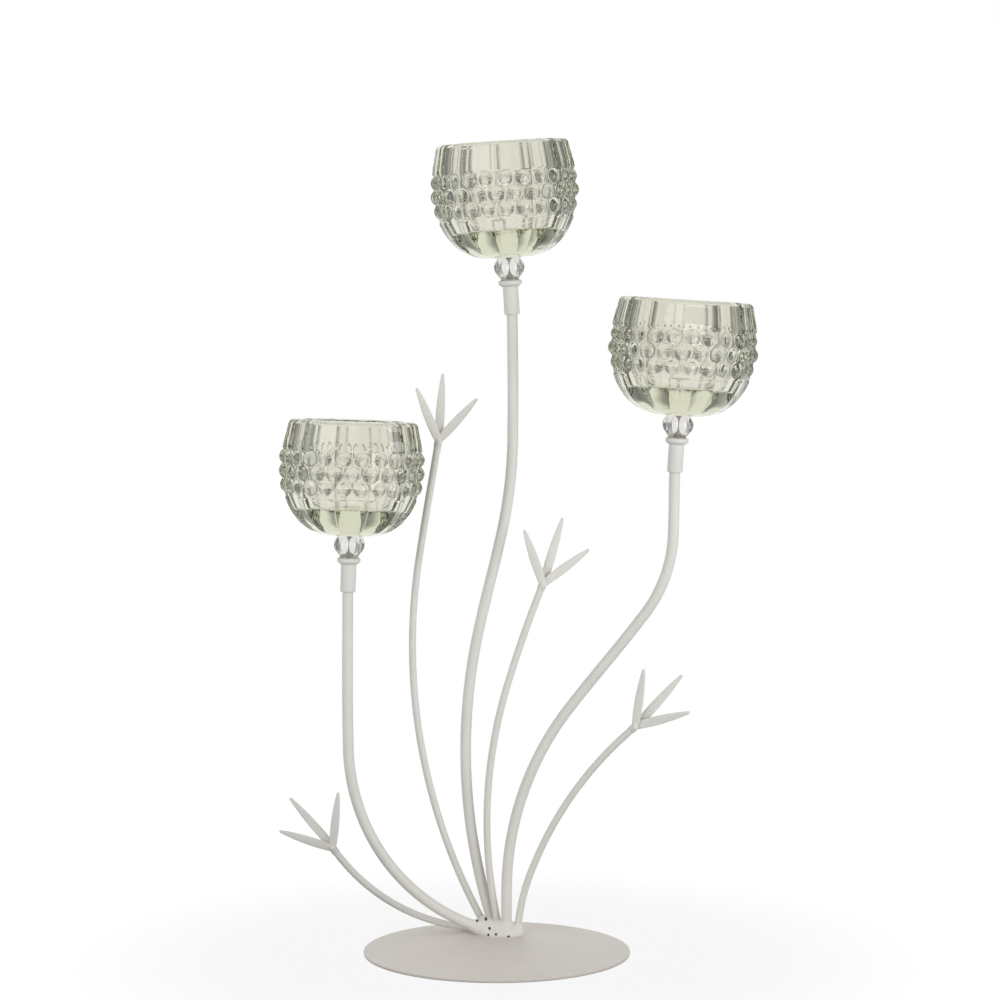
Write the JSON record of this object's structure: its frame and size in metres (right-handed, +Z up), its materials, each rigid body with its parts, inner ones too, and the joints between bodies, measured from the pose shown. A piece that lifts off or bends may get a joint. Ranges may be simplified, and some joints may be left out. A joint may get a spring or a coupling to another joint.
{
  "type": "tealight candelabra",
  "caption": "Table-top branch candelabra: bent white wires with leaf sprigs on a round plate carry pale green pressed-glass tealight cups that unscrew",
  "frame": {"origin": "centre of the round plate, on the surface that it stands on", "axes": "+Z up, -Y the front as pictured, +X to the viewer's right"},
  "size_m": [0.2744, 0.15, 0.4596],
  "materials": {
    "coat": "satin off-white powder coat",
    "green_glass": "pressed pale green glass",
    "clear_glass": "polished clear glass",
    "washer": "clear silicone",
    "stud": "off-white painted thread",
    "felt": "pressed felt"
  },
  "bodies": {
    "stand": {"base_plate": "coat", "base_felt": "felt", "base_weld": "coat", "stem_left": "coat", "socket_left": "coat", "stem_top": "coat", "socket_top": "coat", "stem_right": "coat", "socket_right": "coat", "sprig_stem_tall": "coat", "sprig_weld_tall": "coat", "leaf_tall_left": "coat", "leaf_tall_middle": "coat", "leaf_tall_right": "coat", "sprig_stem_mid": "coat", "sprig_weld_mid": "coat", "leaf_mid_left": "coat", "leaf_mid_middle": "coat", "leaf_mid_right": "coat", "sprig_stem_reed": "coat", "sprig_weld_reed": "coat", "leaf_reed_left": "coat", "leaf_reed_middle": "coat", "leaf_reed_right": "coat", "sprig_stem_low": "coat", "sprig_weld_low": "coat", "leaf_low_left": "coat", "leaf_low_middle": "coat", "leaf_low_right": "coat"},
    "left_washer_body": {"washer_left": "washer"},
    "left_cup_body": {"bead_left": "clear_glass", "stud_left": "stud", "cup_left": "green_glass"},
    "top_washer_body": {"washer_top": "washer"},
    "top_cup_body": {"bead_top": "clear_glass", "stud_top": "stud", "cup_top": "green_glass"},
    "right_washer_body": {"washer_right": "washer"},
    "right_cup_body": {"bead_right": "clear_glass", "stud_right": "stud", "cup_right": "green_glass"}
  },
  "joints": [
    {"name": "left_cup_rise", "type": "slide", "parent": "stand", "child": "left_washer_body", "axis": [0.0339, 0.0084, 0.9994], "range_m": [0, 0.007]},
    {"name": "left_cup_turn", "type": "hinge", "parent": "left_washer_body", "child": "left_cup_body", "pos_m": [-0.08391, 0.02216, 0.22208], "axis": [0.0339, 0.0084, 0.9994], "range_deg": [0, 5040]},
    {"name": "top_cup_rise", "type": "slide", "parent": "stand", "child": "top_washer_body", "axis": [-0.0628, -0.0435, 0.9971], "range_m": [0, 0.007]},
    {"name": "top_cup_turn", "type": "hinge", "parent": "top_washer_body", "child": "top_cup_body", "pos_m": [0.00748, 0.03097, 0.3793], "axis": [-0.0628, -0.0435, 0.9971], "range_deg": [0, 5040]},
    {"name": "right_cup_rise", "type": "slide", "parent": "stand", "child": "right_washer_body", "axis": [0.0629, -0.0145, 0.9979], "range_m": [0, 0.007]},
    {"name": "right_cup_turn", "type": "hinge", "parent": "right_washer_body", "child": "right_cup_body", "pos_m": [0.10161, 0.01633, 0.29032], "axis": [0.0629, -0.0145, 0.9979], "range_deg": [0, 5040]}
  ],
  "couplings": [
    {"joint": "left_cup_rise", "follows": "left_cup_turn", "m_per_rad": 0.000079577},
    {"joint": "top_cup_rise", "follows": "top_cup_turn", "m_per_rad": 0.000079577},
    {"joint": "right_cup_rise", "follows": "right_cup_turn", "m_per_rad": 0.000079577}
  ]
}
